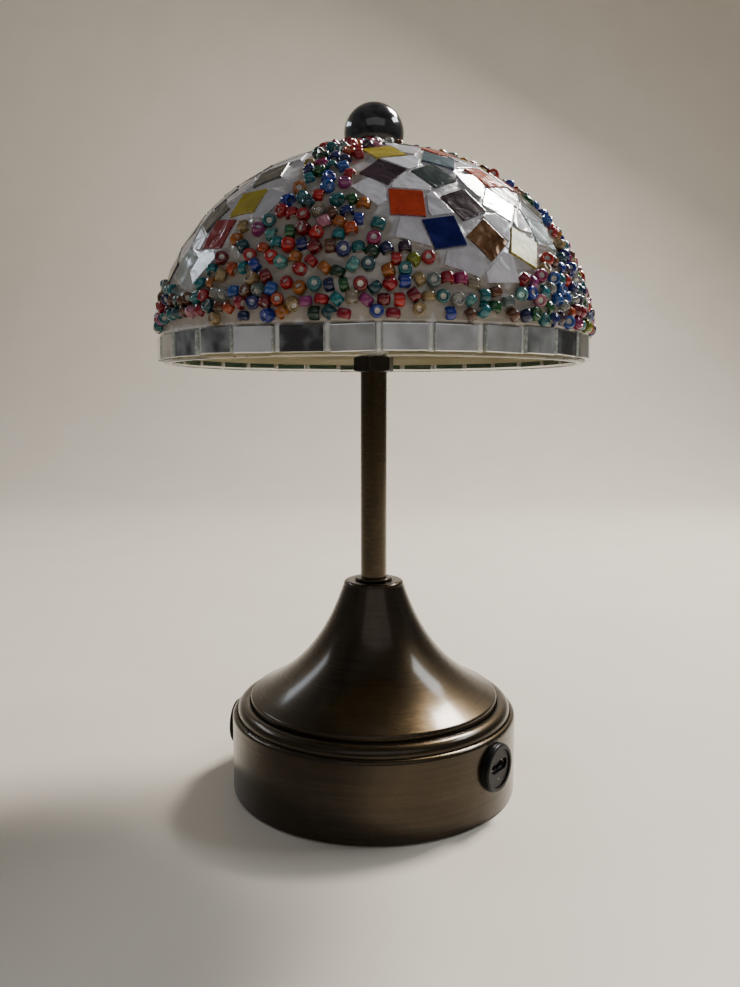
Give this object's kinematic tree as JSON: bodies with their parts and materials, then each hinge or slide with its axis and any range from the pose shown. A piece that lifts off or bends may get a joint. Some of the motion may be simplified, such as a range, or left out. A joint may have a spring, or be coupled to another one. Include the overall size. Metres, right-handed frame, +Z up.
{
  "type": "table lamp",
  "caption": "Cordless table lamp: a brass base with a concave flare, a thin stem, a black ball finial and a domed glass shade covered in mosaic squares, mirrors and seed beads.",
  "frame": {"origin": "on the table, under the lamp's axis", "axes": "+Z up along the stem, -Y to the front of the lamp as pictured, +X to its right"},
  "size_m": [0.1785, 0.1792, 0.2831],
  "materials": {
    "antique_brass": "antique brown, fine circumferential brushing",
    "blackened_nut": "satin black",
    "zinc_steel": "zinc plated",
    "raw_brass": "turned",
    "nickel": "bright nickel",
    "black_gloss": "polished black",
    "black_matte": "moulded matte black",
    "rubber_black": "matte rubber",
    "cell_wrap": "shrink wrap",
    "circuit_board": "solder mask",
    "components": "moulded packages",
    "lead_insulation": "extruded insulation",
    "led_phosphor": "phosphor gel",
    "frosted_plastic": "frosted",
    "aluminium": "turned",
    "indicator": "clear light pipe",
    "shade_glass": "clear pressed glass",
    "white_bed": "white bedding under clear glue",
    "mirror_silver": "silvered glass, cut edges",
    "glass_white": "milk glass",
    "glass_yellow": "back-silvered yellow glass",
    "glass_green": "back-silvered dark green glass",
    "glass_orange": "back-silvered orange glass",
    "glass_plum": "back-silvered plum glass",
    "glass_blue": "back-silvered blue glass",
    "glass_red": "back-silvered red glass",
    "glass_brown": "back-silvered amber brown glass",
    "bead_red": "seed bead glass",
    "bead_amber": "seed bead glass",
    "bead_teal": "seed bead glass",
    "bead_blue": "seed bead glass",
    "bead_pink": "seed bead glass",
    "bead_green": "seed bead glass",
    "bead_clear": "seed bead glass"
  },
  "bodies": {
    "lamp": {"base_shell": "antique_brass", "neck_ring": "antique_brass", "stem_tube": "antique_brass", "stem_nut": "blackened_nut", "base_washer": "zinc_steel", "base_nut": "zinc_steel", "seat_nut": "zinc_steel", "bottom_screws": "zinc_steel", "plate_lugs": "zinc_steel", "threaded_rod": "zinc_steel", "rocker_pin": "zinc_steel", "shade_seat": "raw_brass", "switch_terminals": "raw_brass", "usb_shell": "nickel", "battery_contacts": "nickel", "socket_bezel": "black_gloss", "switch_housing": "black_gloss", "bottom_plate": "black_matte", "battery_cradle": "black_matte", "socket_nut": "black_matte", "usb_tongue": "black_matte", "board_standoffs": "black_matte", "rubber_feet": "rubber_black", "seat_gasket": "rubber_black", "battery_cell": "cell_wrap", "control_board": "circuit_board", "led_board": "circuit_board", "board_components": "components", "battery_leads": "lead_insulation", "switch_leads": "lead_insulation", "socket_leads": "lead_insulation", "led_leads": "lead_insulation", "led_chips": "led_phosphor", "led_diffuser": "frosted_plastic", "led_carrier": "aluminium", "charge_indicator": "indicator", "shade_glass": "shade_glass", "grout_coat": "white_bed", "mirror_tiles": "mirror_silver", "tesserae_silver": "mirror_silver", "tesserae_white": "glass_white", "tesserae_yellow": "glass_yellow", "tesserae_green": "glass_green", "tesserae_orange": "glass_orange", "tesserae_plum": "glass_plum", "tesserae_blue": "glass_blue", "tesserae_red": "glass_red", "tesserae_brown": "glass_brown", "beads_red": "bead_red", "beads_amber": "bead_amber", "beads_teal": "bead_teal", "beads_blue": "bead_blue", "beads_pink": "bead_pink", "beads_green": "bead_green", "beads_clear": "bead_clear"},
    "rocker": {"switch_rocker": "black_gloss"},
    "finial_washer": {"cap_washer": "rubber_black"},
    "finial": {"finial_ball": "black_gloss", "finial_insert": "raw_brass"}
  },
  "joints": [
    {"name": "rocker_tilt", "type": "hinge", "parent": "lamp", "child": "rocker", "pos_m": [-0.0589, 0.01145, 0.0208], "axis": [-0.1908, -0.9816, 0], "range_deg": [0, 20]},
    {"name": "finial_rise", "type": "slide", "parent": "lamp", "child": "finial_washer", "axis": [0, 0, 1], "range_m": [0, 0.0081]},
    {"name": "finial_turn", "type": "hinge", "parent": "finial_washer", "child": "finial", "pos_m": [0, 0, 0.2709], "axis": [0, 0, 1], "range_deg": [0, 2880]}
  ],
  "couplings": [
    {"joint": "finial_rise", "follows": "finial_turn", "m_per_rad": 0.00015915}
  ]
}
